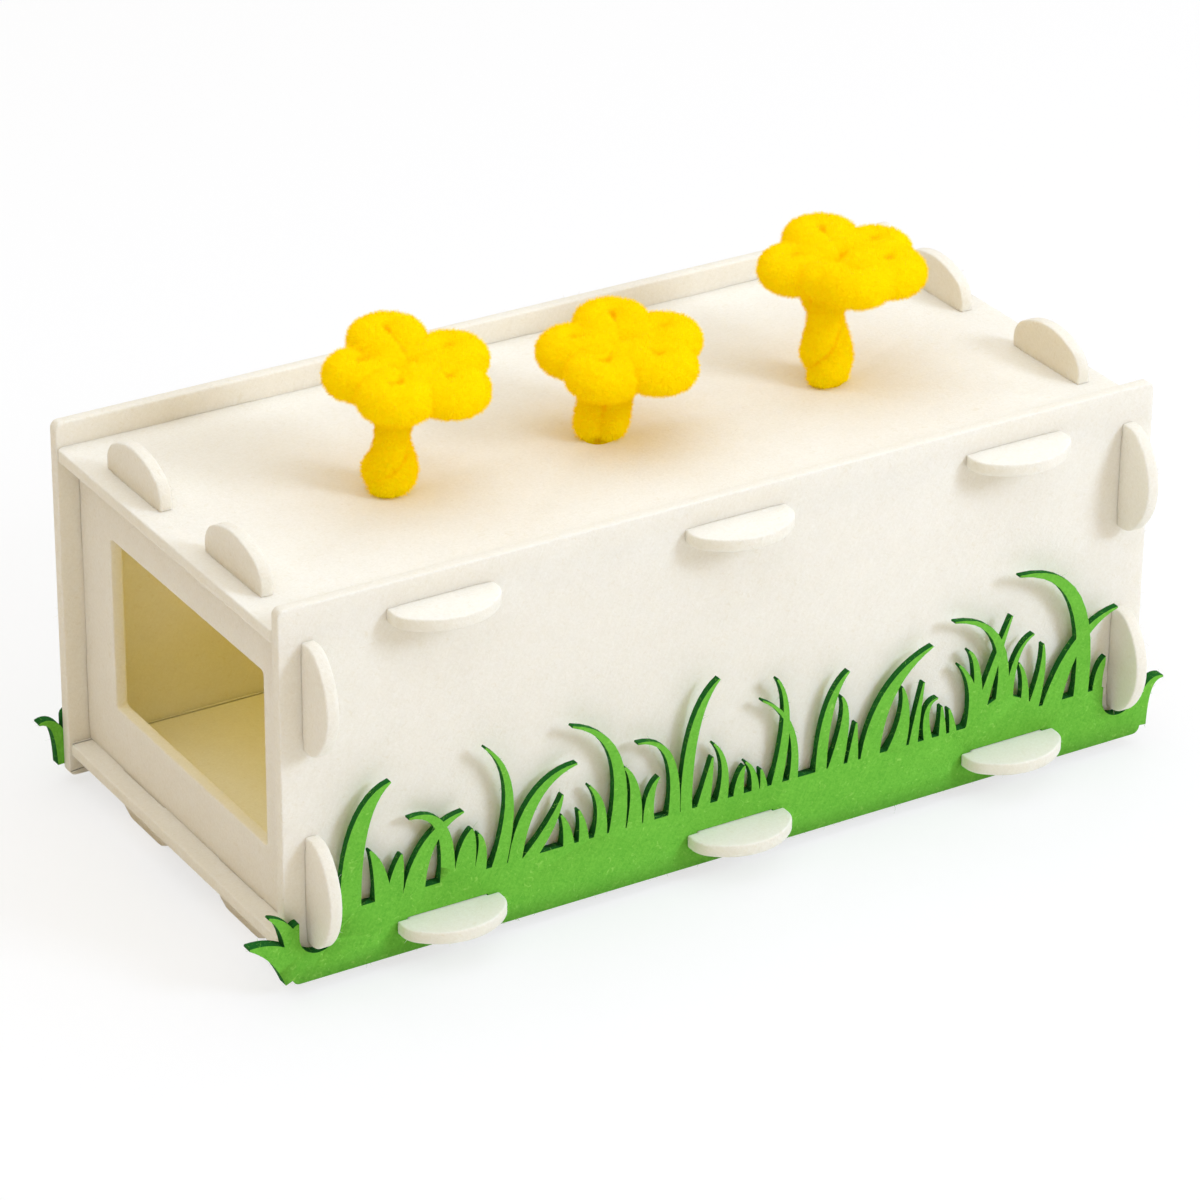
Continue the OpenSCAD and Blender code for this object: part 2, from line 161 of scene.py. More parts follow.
def pile_finish(name, bright, deep, under, painted_glow):
    """Chenille pile: tufts with deeper colour between them, the under colour where the skin is hollow as
    painted shade, and an emission in its own colour, as strong as the last argument, that is a painted glow."""
    finish, wire = new_finish(name)
    at = wire.node("ShaderNodeTexCoord", out="Object")
    tufts = noise(wire, at, 1 / TUFT, 2.0, 0.8)
    groups = noise(wire, at, 1 / TUFT_GROUP, 2.0)
    tone = ranged(wire, tufts * 0.65 + groups * 0.35, 0.36, 0.6)
    bump = wire.node("ShaderNodeBump", None, {"Strength": 0.7, "Distance": 0.4 * MM, "Height": tufts})
    # Where the skin is hollow the colour turns to the under colour: painted shade in the hollows
    hollow = wire.node("ShaderNodeAttribute", {"attribute_name": "hollow"}, out="Fac")
    colour = mixed(wire, hollow, mixed(wire, tone, rgb(deep), rgb(bright)), rgb(under))
    shader = wire.node("ShaderNodeBsdfPrincipled", None, {
        "Base Color": colour, "Emission Color": colour, "Emission Strength": painted_glow, "Roughness": 0.95,
        "Normal": bump, "Specular IOR Level": 0.05, "Subsurface Weight": 1.0, "Subsurface Radius": PILE_REACH,
        "Subsurface Scale": 1.0})
    wire.node("ShaderNodeOutputMaterial", None, {"Surface": shader})
    return finish


# Meshes

def put(name, points, faces, finishes, body, replaced=(), slots_of=None):
    """A piece from arrays of points and faces, riding on its body."""
    mesh = bpy.data.meshes.new(name)
    mesh.from_pydata(points.reshape(-1, 3).tolist(), [], faces.tolist())
    for finish in finishes:
        mesh.materials.append(finish)
    if slots_of is not None:
        mesh.polygons.foreach_set("material_index", slots_of.astype(np.int32))
    mesh.polygons.foreach_set("use_smooth", np.full(len(mesh.polygons), True))
    mesh.update()
    return settle(bpy.data.objects.new(name, mesh), body, replaced)


def settle(piece, body, replaced=()):
    """Links a finished piece, puts it on its body and hides the CAD parts that it stands for."""
    bpy.context.scene.collection.objects.link(piece)
    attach(piece, body)
    if replaced:
        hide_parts(*replaced)
    return piece


def triangles(node):
    """Corners of a CAD node's triangles, as one array of n by 3 by 3."""
    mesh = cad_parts[node].data
    mesh.calc_loop_triangles()
    corner = np.empty(len(mesh.loop_triangles) * 3, np.int32)
    mesh.loop_triangles.foreach_get("vertices", corner)
    place = np.empty(len(mesh.vertices) * 3, np.float32)
    mesh.vertices.foreach_get("co", place)
    return place.reshape(-1, 3)[corner].reshape(-1, 3, 3).astype(float)


# How far felt swells over its faces and along its outline, and how round its edges are
SWELL, EDGE_SWELL, SOFT_EDGE = 0.12 * MM, 0.4 * MM, 0.45 * MM


def board(node, face, cut, across):
    """A felt board: the CAD outline, its triangles merged into whole faces, swollen over its faces and along
    its outline, the floor's outline less than the others', but not below the ground, with rounded edges."""
    piece = felt_copy(node, face, cut, across, True)
    place, out = corners_of(piece.data)
    flat = np.arange(3) != across
    edge = SWELL if node == "floor_panel" else EDGE_SWELL
    swollen = place + np.sign(out) * ~flat * SWELL + unit(out * flat) * edge
    swollen[:, 2] = np.maximum(swollen[:, 2], 0)
    moved(piece.data, swollen)
    bevel = piece.modifiers.new("soft edge", "BEVEL")
    bevel.width = SOFT_EDGE
    bevel.segments = 4
    bevel.limit_method = "ANGLE"
    bevel.angle_limit = math.radians(50)
    bevel.use_clamp_overlap = False
    bevel.harden_normals = True
    settle(piece, "house", [node])


def grass(node, face, cut, across):
    """A grass strip: the CAD outline with crisp cut edges, its blades leaning off the wall."""
    piece = felt_copy(node, face, cut, across, False)
    moved(piece.data, leaned(corners_of(piece.data)[0]))
    piece.data.set_sharp_from_angle(angle=math.radians(40))
    settle(piece, "house", [node])


def felt_copy(node, face, cut, across, whole_faces):
    """A merged copy of a CAD board with its two finishes: faces that don't look along the across axis are
    cut edges."""
    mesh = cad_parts[node].data.copy()
    mesh.name = node + "_felt"
    mesh.materials.clear()
    mesh.materials.append(face)
    mesh.materials.append(cut)
    shape = bmesh.new()
    shape.from_mesh(mesh)
    bmesh.ops.remove_doubles(shape, verts=shape.verts, dist=1e-6)
    if whole_faces:
        bmesh.ops.dissolve_limit(shape, angle_limit=math.radians(0.5), verts=shape.verts, edges=shape.edges)
    for f in shape.faces:
        f.smooth = True
        f.material_index = int(abs(f.normal[across]) < 0.5)
    shape.to_mesh(mesh)
    shape.free()
    return bpy.data.objects.new(node + "_felt", mesh)


def corners_of(mesh):
    """A mesh's points and their outward directions, n by 3 each."""
    place = np.empty(len(mesh.vertices) * 3, np.float32)
    mesh.vertices.foreach_get("co", place)
    out = np.empty(len(mesh.vertices) * 3, np.float32)
    mesh.vertex_normals.foreach_get("vector", out)
    return place.reshape(-1, 3).astype(float), out.reshape(-1, 3).astype(float)


def moved(mesh, place):
    """Puts a mesh's points at new places."""
    mesh.vertices.foreach_set("co", place.astype(np.float32).ravel())
    mesh.update()


# Heights of the turf and of the tallest blade, how far that one leans out, by what power of their height blades
# lean, and where the strip's outer face is
TURF, BLADE_TOP, LEAN_OUT, LEAN_POWER, GRASS_FACE = 17 * MM, 59 * MM, 3.2 * MM, 1.5, 60.5 * MM
# The rise over which blades get thinner, and by what share
THIN_RISE, THINNER = 6 * MM, 0.4


def leaned(p):
    """Moves points of a grass strip out from the wall by a power of their height over the turf, the side
    next to the wall more than the outer side, so blades are thinner than the turf."""
    rise = np.clip(p[..., 2] - TURF, 0, None)
    under = np.clip(GRASS_FACE - np.abs(p[..., 1]), 0, None)
    out = LEAN_OUT * (rise / (BLADE_TOP - TURF)) ** LEAN_POWER
    out = out + THINNER * under * np.clip(rise / THIN_RISE, 0, 1)
    return p + np.sign(p[..., 1:2]) * np.array([0, 1, 0]) * out[..., None]


TIP_SHARE = 0.33


def ribbons(line, side, width):
    """Strips along lines: line is n by m by 3, side gives each strip's flat direction, and the strip
    narrows evenly to a share of its width at its tip."""
    n, m = line.shape[:2]
    taper = np.linspace(1, TIP_SHARE, m)[None, :, None]
    half = 0.5 * width[:, None, None] * taper * side[:, None, :]
    points = np.stack([line - half, line + half], axis=2)
    start = 2 * m * np.arange(n)[:, None] + 2 * np.arange(m - 1)[None, :]
    faces = np.stack([start, start + 1, start + 3, start + 2], axis=-1).reshape(-1, 4)
    return points, faces


def unit(v):
    """Directions of length one: each vector over its own length."""
    return v / np.maximum(np.linalg.norm(v, axis=-1, keepdims=True), 1e-12)


# Loose fibres: how many more a cut edge has, the ranges of length and of lift as a share of length on cut edges
# and on faces, the range of width, how deep they are rooted, how far they sway sideways and where their arch
# would come down again, both in lengths, their points, and how far from a flower's hole they stay above the
# roof and below it
EDGE_FIBRES = 4.0
EDGE_L, FACE_L = (0.5, 1.2), (0.8, 2.2)
EDGE_LIFT, FACE_LIFT = (0.2, 0.7), (0.05, 0.22)
FIBRE_W, ROOTED = (0.05, 0.09), 0.05 * MM
SWAY, ARCH, FIBRE_POINTS = 0.25, 1.6, 4
CLEAR_ABOVE, CLEAR_BELOW = 9, 19


def fuzz(node, tints, across, count, seed, swell=0.0, bent=None):
    """Loose fibres on a felt board: each starts just inside the surface at a random place, runs along it
    in a random direction, arches over it by a parabola and narrows to its end. Cut edges have more, and the
    roof has none where a flower turns."""
    pick = np.random.default_rng(seed)
    corners = triangles(node)
    normal = np.cross(corners[:, 1] - corners[:, 0], corners[:, 2] - corners[:, 0])
    size = np.linalg.norm(normal, axis=1)
    normal = unit(normal)
    on_edge = np.abs(normal[:, across]) < 0.5
    weight = size * np.where(on_edge, EDGE_FIBRES, 1.0)
    which = pick.choice(len(corners), count, p=weight / weight.sum())
    u, v = pick.random(count), pick.random(count)
    u, v = np.where(u + v > 1, 1 - u, u), np.where(u + v > 1, 1 - v, v)
    a, b, c = corners[which, 0], corners[which, 1], corners[which, 2]
    up = normal[which]
    root = a + u[:, None] * (b - a) + v[:, None] * (c - a) + (swell - ROOTED) * up
    along = unit(np.cross(up, pick.normal(size=(count, 3))))
    cut = on_edge[which]
    length = MM * np.where(cut, pick.uniform(*EDGE_L, count), pick.uniform(*FACE_L, count))
    lift = length * np.where(cut, pick.uniform(*EDGE_LIFT, count), pick.uniform(*FACE_LIFT, count))
    t = np.linspace(0, 1, FIBRE_POINTS)[None, :, None]
    sway = unit(np.cross(up, along)) * (pick.normal(0, SWAY, count) * length)[:, None]
    line = (root[:, None] + along[:, None] * length[:, None, None] * t + sway[:, None] * t * t
            + up[:, None] * lift[:, None, None] * t * (ARCH - t))
    if bent:
        line = bent(line)
    keep = (line[..., 2] > 0).all(1)
    if node == "roof_panel":
        holes = MM * np.array([flower.hole for flower in FLOWERS.values()])
        near = np.linalg.norm(root[:, None, :2] - holes, axis=-1).min(1)
        keep &= near > MM * np.where(up[:, 2] > 0.5, CLEAR_ABOVE, CLEAR_BELOW)
    width = MM * pick.uniform(*FIBRE_W, count)
    points, faces = ribbons(line[keep], unit(np.cross(up, along))[keep], width[keep])
    tint = np.repeat(pick.integers(0, len(tints), keep.sum()), line.shape[1] - 1)
    put(node + "_fuzz", points, faces, tints, "house", slots_of=tint)


# Chenille flowers, in millimetres

LOOPS = 5
LOOP_A, HALF_A = 2 * math.pi / LOOPS, math.pi / LOOPS
ROOF_TOP, FELT_T = 92.25, 3.0
TIP_C, TIP_R = 11.2, 4.8
VALLEY_C, VALLEY_R = 6.6, 1.7
BEND_R, SWING_H = 4.5, 8.0
HOLE_STRAND_R, STRAND_R, FOOT_H = 1.8, 2.4, 2.0
TAIL_REACH, TAIL_BEND = 14.0, 2.9
# The hole, the loops' height, the stalk's lean, the turn of the open side, how far the middle is from the
# stalk, the strands' swing below the loops, their twist at the foot and how early it ends, then for each
# loop its lift and the degrees that it is pushed round
Flower = namedtuple("Flower", "hole rise lean turn off swing twist early lifts pushes")
FLOWERS = {
    "left_flower": Flower((-63, -5), 28.4, (1.9, 0), 188, 4.8, 37, 330, 5,
                          (-1, -1.5, 0.5, 4, 0.3), (0, 0, 0, 10, 4)),
    "middle_flower": Flower((-6, -5.5), 21.2, (3.6, 0), 180, 3.2, -58, 0, 3,
                            (-1.2, -0.6, 0.6, 2, -0.4), (0, 0, 0, 0, 0)),
    "right_flower": Flower((59.5, -6.5), 29.3, (-1.5, 1.2), 192, 6.3, 46, 300, 3,
                           (0.4, -1, 0, 2, -0.6), (25, 20, 0, 0, 0)),
}
# The pile's radius at heights over the roof, then at heights under the loops
STALK_Z = (-FELT_T - 1, -FELT_T, -0.2, 0.4, 2.2, 5, 12)
STALK_R = (2.4, 1.5, 1.5, 2.3, 3.5, 4.1, 3.7)
LOOP_Z, LOOP_R = (-6, -1), (4.0, 4.6)
# The tube's sides, the rings over which its ends are rounded, and the least that stays of the squared radius
TUBE_SIDES, END_RINGS, END_LEAST = 28, 6, 0.02
VOXEL, SMOOTH_ROUNDS = 0.4, 9
HOLLOW_ROUNDS, FULL_HOLLOW = 24, 0.014
PUNCHED_R, OVER_ROOF = 3.35, 0.2
# Above the foot, tufts and hairs have their whole size
FOOT_Z = 0.6
TUFT_WAVES, TUFT_H, FOOT_TUFT_H = (1.1, 1.7, 2.9), 0.6, 0.1
HAIR_REACH, FOOT_REACH, HAIR_W = (0.4, 1.3), 0.25, (0.07, 0.12)
# How upright hairs stand, where they start as a share of their reach, how far they keep below the roof, and how
# hollow the skin is where there are none
HAIR_STAND, HAIR_ROOT, UNDER_ROOF, BARE_HOLLOW = (0.4, 1.6), -0.3, 0.25, (0.15, 0.5)
# Sine waves of each length in the lumps, and the largest angle that one starts at
WAVES_EACH, LAST_START = 5, 6.28


def ease(t):
    """From 0 to 1 with level ends: three t squared less two t cubed, held outside them."""
    t = np.clip(t, 0, 1)
    return t * t * (3 - 2 * t)


def polar(r, a):
    """Flat points from radius and angle: the radius times the angle's cosine and sine."""
    return np.stack([r * np.cos(a), r * np.sin(a)], axis=-1)


def level(p, z):
    """Flat points raised to one height, or each to its own."""
    return np.concatenate([p, np.broadcast_to(z, p.shape[:-1])[..., None]], axis=-1)


def half_stem(rise, lean, turn, swing, twist, early, side):
    """One strand from its end under the roof to the top of the stalk: a straight tail, a quarter bend up
    through the hole, a winding round the stalk's middle that is tightest at the foot, and a quarter bend
    out to the open side."""
    top = rise - BEND_R
    z = np.linspace(0, top, 60)
    wound = turn + side * math.pi / 2 - swing * ease((top - z) / SWING_H) - twist * (1 - z / top) ** early
    inner, low = HOLE_STRAND_R + TAIL_BEND, -FELT_T - TAIL_BEND
    tail = level(polar(np.linspace(TAIL_REACH, inner, 12), np.full(12, wound[0])), low)
    a = np.linspace(0, math.pi / 2, 9)[1:]
    knee = level(polar(inner - TAIL_BEND * np.sin(a), np.full(8, wound[0])),
                 low + TAIL_BEND * (1 - np.cos(a)))
    apart = HOLE_STRAND_R + (STRAND_R - HOLE_STRAND_R) * ease(z / FOOT_H)
    stalk = level(polar(apart, wound) + (z / top)[:, None] * np.array(lean), z)
    out = polar(BEND_R * (1 - np.cos(a)), np.full(8, turn))
    foot = np.array(lean) + polar(STRAND_R * side, turn + math.pi / 2)
    bend = level(foot + out, top + BEND_R * np.sin(a))
    return np.concatenate([tail, knee, stalk, bend])


def loops_of(rise, lean, turn, off, lifts, pushes):
    """The five loops, spread evenly round a middle and then pushed: arcs round their ends, joined by arcs the
    other way round the bends between them, each lifted more towards its end."""
    middle = np.array(lean) - polar(off, turn)
    gap = np.array([VALLEY_C * math.cos(HALF_A) - TIP_C, VALLEY_C * math.sin(HALF_A)])
    tip_a = math.atan2(gap[1], gap[0]) - math.acos((TIP_R + VALLEY_R) / np.linalg.norm(gap))
    valley_a = tip_a - HALF_A
    low = VALLEY_C - VALLEY_R
    axes = turn + HALF_A + LOOP_A * np.arange(LOOPS) + np.radians(pushes)
    runs = []
    for k, axis in enumerate(axes):
        first = -math.pi / 2 if k == 0 else -tip_a
        last = math.pi / 2 if k == LOOPS - 1 else tip_a
        p = polar(TIP_C, axis) + polar(TIP_R, axis + np.linspace(first, last, 30))
        full = ease((np.linalg.norm(p, axis=1) - low) / (TIP_C - low))
        runs.append(level(middle + p, rise + lifts[k] * full))
        if k < LOOPS - 1:
            a = valley_a * np.linspace(1, -1, 18)
            between = (axis + axes[k + 1]) / 2
            p = polar(VALLEY_C, between) + polar(VALLEY_R, between + math.pi + a)
            full = ease((np.linalg.norm(p, axis=1) - low) / (TIP_C - low))
            lift = np.where(a > 0, lifts[k], lifts[k + 1])
            runs.append(level(middle + p, rise + lift * full))
    return np.concatenate(runs)


def joined(start, ahead, end, beyond, count=10):
    """A cubic run between two points that keeps the directions at both ends."""
    t = np.linspace(0, 1, count + 2)[1:-1, None]
    span = np.linalg.norm(end - start)
    return (start + (end - start) * t * t * (3 - 2 * t)
            + span * t * (1 - t) * ((1 - t) * unit(ahead) - t * unit(beyond)))


def stem_line(rise, lean, turn, off, swing, twist, early, lifts, pushes, rings=560):
    """The whole stem in millimetres over the roof at its hole: one strand, the loops and the other strand,
    three times put at even steps and smoothed by a weighted mean of five points."""
    turn, swing, twist = math.radians(turn), math.radians(swing), math.radians(twist)
    up, down = (half_stem(rise, lean, turn, swing, twist, early, side) for side in (1, -1))
    loops = loops_of(rise, lean, turn, off, lifts, pushes)
    line = np.concatenate([
        up, joined(up[-1], up[-1] - up[-2], loops[0], loops[1] - loops[0]), loops,
        joined(loops[-1], loops[-1] - loops[-2], down[-1], down[-2] - down[-1]), down[::-1]])
    for _ in range(3):
        step = np.r_[0, np.cumsum(np.linalg.norm(np.diff(line, axis=0), axis=1))]
        even = np.linspace(0, step[-1], rings)
        line = np.stack([np.interp(even, step, line[:, i]) for i in range(3)], axis=1)
        line[2:-2] = (line[:-4] + 2 * line[1:-3] + 3 * line[2:-2] + 2 * line[3:-1] + line[4:]) / 9
    return line


def carried_sides(line):
    """Two directions across a line at each point, carried along it without twist: the point before's direction
    less its part along the line, and the cross product of the line with that."""
    ahead = unit(np.gradient(line, axis=0))
    side = np.empty_like(ahead)
    v = np.array([0.0, 0.0, 1.0])
    for i, d in enumerate(ahead):
        v = v - (v @ d) * d
        v = v / np.linalg.norm(v)
        side[i] = v
    return side, np.cross(ahead, side)


def lumps(p, waves, seed):
    """Smooth lumps about 0: the mean of sine waves in random directions with the given lengths."""
    pick = np.random.default_rng(seed)
    total = 0
    for w in waves:
        d = unit(pick.normal(size=(WAVES_EACH, 3))) * 2 * math.pi / w
        total = total + np.sin(p @ d.T + pick.uniform(0, LAST_START, WAVES_EACH)).sum(-1)
    return total / (WAVES_EACH * len(waves))


def skin(points, faces, voxel, rounds):
    """One closed skin round a tube that overlaps itself: its voxels' outside, smoothed. Gives the points,
    their outward directions and the quads."""
    mesh = bpy.data.meshes.new("skin")
    mesh.from_pydata(points.reshape(-1, 3).tolist(), [], faces)
    piece = bpy.data.objects.new("skin", mesh)
    bpy.context.scene.collection.objects.link(piece)
    voxels = piece.modifiers.new("voxels", "REMESH")
    voxels.mode = "VOXEL"
    voxels.voxel_size = voxel
    smooth = piece.modifiers.new("smooth", "SMOOTH")
    smooth.iterations = rounds
    done = piece.evaluated_get(bpy.context.evaluated_depsgraph_get()).to_mesh()
    place, out = corners_of(done)
    quads = np.empty(len(done.loops), np.int32)
    done.loops.foreach_get("vertex_index", quads)
    bpy.data.objects.remove(piece)
    bpy.data.meshes.remove(mesh)
    return place, out, quads.reshape(-1, 4)


def hollows(p, out, quads):
    """How hollow a skin is at each point, 0 to 1: how far the point lies under the mean of its neighbours,
    evened out by such means."""
    pairs = np.concatenate([quads, np.roll(quads, 1, axis=1)]).ravel()
    other = np.concatenate([np.roll(quads, -1, axis=1), quads]).ravel()
    count = np.bincount(pairs, minlength=len(p))
    deep = sum((np.bincount(pairs, p[other, k], len(p)) / count - p[:, k]) * out[:, k] for k in range(3))
    for _ in range(HOLLOW_ROUNDS):
        deep = 0.5 * deep + 0.5 * np.bincount(pairs, deep[other], len(p)) / count
    return np.clip(deep / FULL_HOLLOW, 0, 1)


def clear_of_roof(p):
    """Lifts points that would sink into the roof's upper half round the hole to just over the roof."""
    z = p[..., 2]
    sunk = (z > -FELT_T / 2) & (np.linalg.norm(p[..., :2], axis=-1) > PUNCHED_R) & (z < OVER_ROOF)
    return np.concatenate([p[..., :2], np.where(sunk, OVER_ROOF, z)[..., None]], axis=-1)


def chenille(name, flower, core, tints, seed, hairs):
    """A flower of one chenille stem: a tube along the stem's line, made one skin where its turns press
    together, with tufts raised on it and pile hairs that stand out from it all round."""
    line = stem_line(*flower[1:])
    rings, sides = len(line), TUBE_SIDES
    v, w = carried_sides(line)
    heights = np.append(STALK_Z, flower.rise + np.array(LOOP_Z))
    radius = np.interp(line[:, 2], heights, np.append(STALK_R, LOOP_R))
    ends = np.clip(np.minimum(np.arange(rings), rings - 1 - np.arange(rings)) / END_RINGS, 0, 1)
    radius = radius * np.sqrt(np.maximum(ends * (2 - ends), END_LEAST))
    angle = np.linspace(0, 2 * math.pi, sides, endpoint=False)
    out = np.cos(angle)[None, :, None] * v[:, None] + np.sin(angle)[None, :, None] * w[:, None]
    p = clear_of_roof(line[:, None] + radius[:, None, None] * out)
    index = np.arange(rings * sides).reshape(rings, sides)
    nxt = np.roll(index, -1, axis=1)
    quads = np.stack([index[:-1], nxt[:-1], nxt[1:], index[1:]], axis=-1).reshape(-1, 4)
    caps = [index[0, ::-1].tolist(), index[-1].tolist()]
    p, out, quads = skin(p * MM, quads.tolist() + caps, VOXEL * MM, SMOOTH_ROUNDS)
    p = p / MM
    hollow = hollows(p, out, quads)
    tufts = lumps(p, TUFT_WAVES, seed)[:, None] * np.where(p[:, 2:] > FOOT_Z, TUFT_H, FOOT_TUFT_H)
    p = clear_of_roof(p + out * tufts)
    shift = np.array([*flower.hole, ROOF_TOP])
    piece = put(name + "_chenille", (p + shift) * MM, quads, [core], name, [name])
    # The hollow attribute sets where the pile's finish paints shade
    piece.data.attributes.new("hollow", "FLOAT", "POINT").data.foreach_set("value", hollow.astype(np.float32))

    pick = np.random.default_rng(seed + 1)
    corner = p[quads]
    size = np.linalg.norm(np.cross(corner[:, 2] - corner[:, 0], corner[:, 3] - corner[:, 1]), axis=1)
    i = pick.choice(len(quads), hairs, p=size / size.sum())
    a, b = pick.random((2, hairs, 1))
    share = np.stack([(1 - a) * (1 - b), a * (1 - b), a * b, (1 - a) * b], axis=1)
    root = (share * corner[i]).sum(1)
    up = unit((share * out[quads[i]]).sum(1))
    upright = pick.uniform(*HAIR_STAND, (hairs, 1)) * up
    o = unit(upright + unit(np.cross(up, pick.normal(size=(hairs, 3)))))
    reach = pick.uniform(*HAIR_REACH, hairs) * np.where(root[:, 2] > FOOT_Z, 1, FOOT_REACH)
    t = np.linspace(HAIR_ROOT, 1, 2)[None, :, None]
    hair = root[:, None] + o[:, None] * reach[:, None, None] * t
    flat = unit(np.cross(up, o))
    keep = (hair[..., 2] > OVER_ROOF).all(1) | (hair[..., 2] < -FELT_T - UNDER_ROOF).all(1)
    keep &= (share[..., 0] * hollow[quads[i]]).sum(1) < pick.uniform(*BARE_HOLLOW, hairs)
    points, faces = ribbons((hair + shift)[keep], flat[keep], pick.uniform(*HAIR_W, hairs)[keep])
    tint = pick.integers(0, len(tints), keep.sum())
    put(name + "_pile", points * MM, faces, tints, name, slots_of=tint)


# The object

# The share of light that goes into a felt, and how deep red, green and blue go
FELT_GLOW = (0.4, (2.8 * MM, 2.6 * MM, 2.2 * MM))
NO_GLOW = (0.0, (1 * MM, 1 * MM, 1 * MM))
# How strongly the yellow pile glows: a painted glow that lifts its shaded sides, not a lamp
PAINTED_GLOW = 0.1
FIBRES, HAIRS = 6000, 90000
cream = felt_finish("cream_felt", (0.90, 0.865, 0.775), (0.82, 0.775, 0.665), (0.80, 0.74, 0.60),
                    0.25 * MM, FELT_GLOW)
cream_cut = felt_finish("cream_cut_edge", (0.89, 0.85, 0.75), (0.81, 0.76, 0.64), (0.78, 0.71, 0.56),
                        0.35 * MM, FELT_GLOW)
green = felt_finish("green_felt", (0.20, 0.56, 0.06), (0.105, 0.40, 0.032), (0.36, 0.68, 0.12),
                    0.25 * MM, NO_GLOW)
# The grass strip's cut edges are far darker than its faces: partly the strip's own dark cut edge, partly
# painted shade
green_cut = felt_finish("green_cut_edge", (0.016, 0.14, 0.020), (0.008, 0.09, 0.012), (0.03, 0.19, 0.03),
                        0.3 * MM, NO_GLOW)
cream_tints = [fibre_finish("cream_fibre_" + n, c) for n, c in
               (("pale", (0.93, 0.90, 0.83)), ("mid", (0.88, 0.84, 0.74)), ("warm", (0.80, 0.74, 0.60)))]
green_tints = [fibre_finish("green_fibre_" + n, c) for n, c in
               (("pale", (0.28, 0.64, 0.10)), ("mid", (0.16, 0.50, 0.05)), ("dark", (0.08, 0.34, 0.025)))]
# The pile's third colour is painted shade in its hollows
core = pile_finish("chenille_pile", (1.0, 0.78, 0.0), (1.0, 0.70, 0.0), (0.88, 0.53, 0.0), PAINTED_GLOW)
# The pile's hairs carry the same painted glow
pile_tints = [fibre_finish("pile_" + n, c, PAINTED_GLOW) for n, c in
              (("pale", (1.0, 0.79, 0.0)), ("mid", (1.0, 0.75, 0.0)), ("deep", (1.0, 0.71, 0.0)))]

# Each board and the axis across it
BOARDS = {"front_wall": 1, "back_wall": 1, "roof_panel": 2, "floor_panel": 2,
          "left_end_frame": 0, "right_end_frame": 0}
for seed, (node, across) in enumerate(BOARDS.items()):
    board(node, cream, cream_cut, across)
    fuzz(node, cream_tints, across, FIBRES, seed, swell=SWELL)
for seed, node in enumerate(("front_grass", "back_grass")):
    grass(node, green, green_cut, 1)
    fuzz(node, green_tints, 1, FIBRES, 20 + seed, bent=leaned)
for seed, (node, flower) in enumerate(FLOWERS.items()):
    chenille(node, flower, core, pile_tints, 40 + 2 * seed, HAIRS)


# Floor, light and camera

def straight_to_eye(wire):
    """1 where the background is seen directly, by mirror or through glass."""
    kinds = ("Is Camera Ray", "Is Glossy Ray", "Is Transmission Ray")
    eye, mirror, glass = (wire.node("ShaderNodeLightPath", out=kind) for kind in kinds)
    return wire.sum("MAXIMUM", eye, wire.sum("MAXIMUM", mirror, glass))


FLOOR_HALF, FLOOR_WHITE = 4.0, 0.7


def floor():
    """A plain white floor: part of what the camera sees of it is white, the rest keeps a soft shadow."""
    finish, wire = new_finish("pale_floor")
    path = straight_to_eye(wire)
    plain = wire.node("ShaderNodeBsdfDiffuse", None, {"Color": (0.95, 0.95, 0.95, 1)})
    white = wire.node("ShaderNodeEmission", None, {"Color": (1, 1, 1, 1), "Strength": 1.0})
    both = wire.node("ShaderNodeMixShader", None, {0: path * FLOOR_WHITE, 1: plain, 2: white})
    wire.node("ShaderNodeOutputMaterial", None, {"Surface": both})
    mesh = bpy.data.meshes.new("floor")
    s = FLOOR_HALF
    mesh.from_pydata([(-s, -s, 0), (s, -s, 0), (s, s, 0), (-s, s, 0)], [], [(0, 1, 2, 3)])
    mesh.materials.append(finish)
    plane = bpy.data.objects.new("floor", mesh)
    bpy.context.scene.collection.objects.link(plane)


def lamp(name, place, aim, size, colour, power):
    """A soft box of two sides that looks at a point."""
    data = bpy.data.lights.new(name, "AREA")
    data.shape = "RECTANGLE"
    data.size, data.size_y = size
    data.color = colour
    data.energy = power
    made = bpy.data.objects.new(name, data)
    made.location = place
    made.rotation_euler = (Vector(aim) - Vector(place)).to_track_quat("-Z", "Y").to_euler()
    bpy.context.scene.collection.objects.link(made)


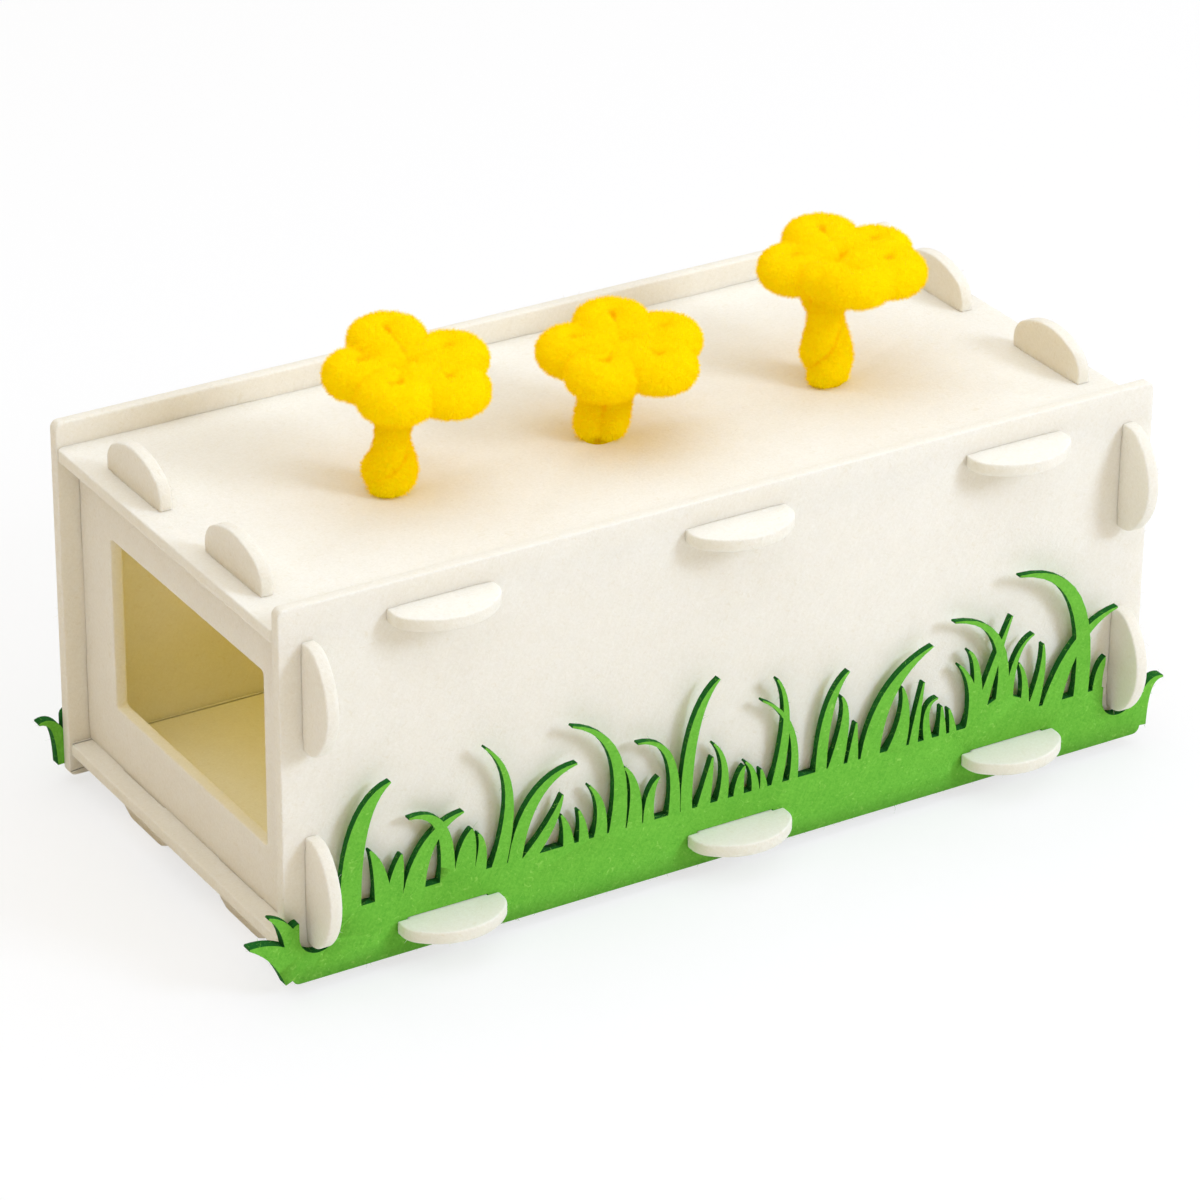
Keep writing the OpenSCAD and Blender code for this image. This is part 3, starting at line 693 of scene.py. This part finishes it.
def sky(colour, strength):
    """Even light from all round; the camera sees white."""
    world = bpy.data.worlds.new("studio")
    bpy.context.scene.world = world
    world.use_nodes = True
    world.node_tree.nodes.clear()
    wire = Wire(world.node_tree)
    path = straight_to_eye(wire)
    light = wire.node("ShaderNodeBackground", None, {"Color": rgb(colour), "Strength": strength})
    white = wire.node("ShaderNodeBackground", None, {"Color": (1, 1, 1, 1), "Strength": 1.0})
    both = wire.node("ShaderNodeMixShader", None, {0: path, 1: light, 2: white})
    wire.node("ShaderNodeOutputWorld", None, {"Surface": both})


# The camera: where it stands, what it looks at, its roll, its focal length and the aim's offset in pixels of
# the photograph, the photograph's width in them, and the film's width in millimetres
EYE, AIM, ROLL = (-0.5999, -0.9796, 0.63815), (0, 0, 0.05075), math.radians(0.574)
FOCUS, OFF_RIGHT, OFF_UP = 5278.13, 5.36, 21.86
PHOTO_W, FILM_W = 1200, 36


def camera():
    """The photograph's long lens, from the front left and above: it looks at the aim, rolls a little, then
    turns until the aim falls off the picture's middle by its offset."""
    place = Vector(EYE)
    ahead = (Vector(AIM) - place).normalized()
    right = ahead.cross(Vector((0, 0, 1))).normalized()
    up = right.cross(ahead)
    right, up = right * math.cos(ROLL) + up * math.sin(ROLL), up * math.cos(ROLL) - right * math.sin(ROLL)
    ahead = (ahead - right * (OFF_RIGHT / FOCUS) - up * (OFF_UP / FOCUS)).normalized()
    right = (right - ahead * right.dot(ahead)).normalized()
    up = right.cross(ahead)
    data = bpy.data.cameras.new("camera")
    data.lens = FILM_W * FOCUS / PHOTO_W
    data.clip_end = 20
    made = bpy.data.objects.new("camera", data)
    made.matrix_world = Matrix.Translation(place) @ Matrix((right, up, -ahead)).transposed().to_4x4()
    bpy.context.scene.collection.objects.link(made)
    bpy.context.scene.camera = made


HOUSE = (0, 0, 0.05)
floor()
sky((1.0, 0.665, 0.21), 0.387)
lamp("key", (1.05, -1.5, 1.08), HOUSE, (0.6, 0.6), (0.651, 0.775, 1.0), 21.8)
lamp("top", (0, 0, 1.8), HOUSE, (3.6, 3.6), (0.681, 0.814, 1.0), 58)
# Light that comes through the felt roof, which the renderer doesn't follow past the first surface
lamp("through_roof", (0, 0, 0.0885), (0, 0, 0), (0.2, 0.1), (1.0, 0.784, 0.085), 0.0379)
camera()
bpy.context.scene.view_settings.view_transform = "Standard"
